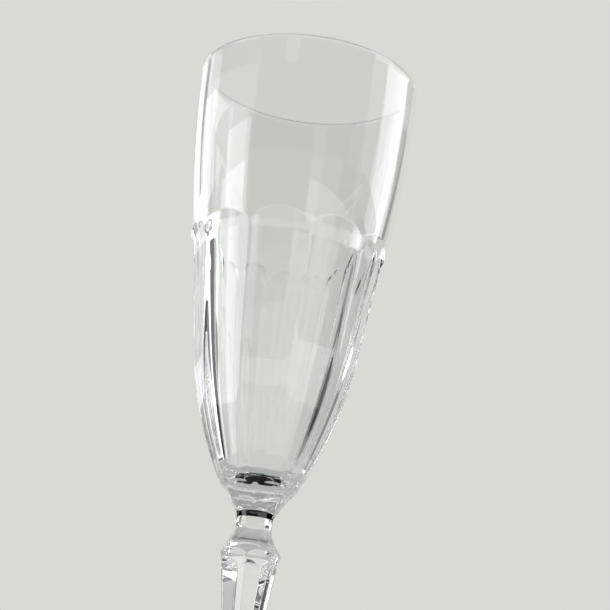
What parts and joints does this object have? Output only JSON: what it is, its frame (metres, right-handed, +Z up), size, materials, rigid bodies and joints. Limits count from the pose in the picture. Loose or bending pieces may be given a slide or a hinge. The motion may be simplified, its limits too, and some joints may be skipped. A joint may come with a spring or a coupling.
{
  "type": "champagne flute",
  "caption": "Tall clear glass flute with a plain upper wall, arched flat panels on the body, a faceted solid stem and a round foot.",
  "frame": {"origin": "centre of the circle that the foot stands on, on the table's surface", "axes": "+Z up along the glass's own axis, -Y through the middle of one panel of the bowl"},
  "size_m": [0.066, 0.066, 0.205],
  "materials": {
    "bowl_glass": "fire-polished clear",
    "stem_glass": "fire-polished clear",
    "foot_glass": "fire-polished clear"
  },
  "bodies": {
    "root": {"bowl": "bowl_glass", "stem": "stem_glass", "foot": "foot_glass"}
  },
  "joints": []
}
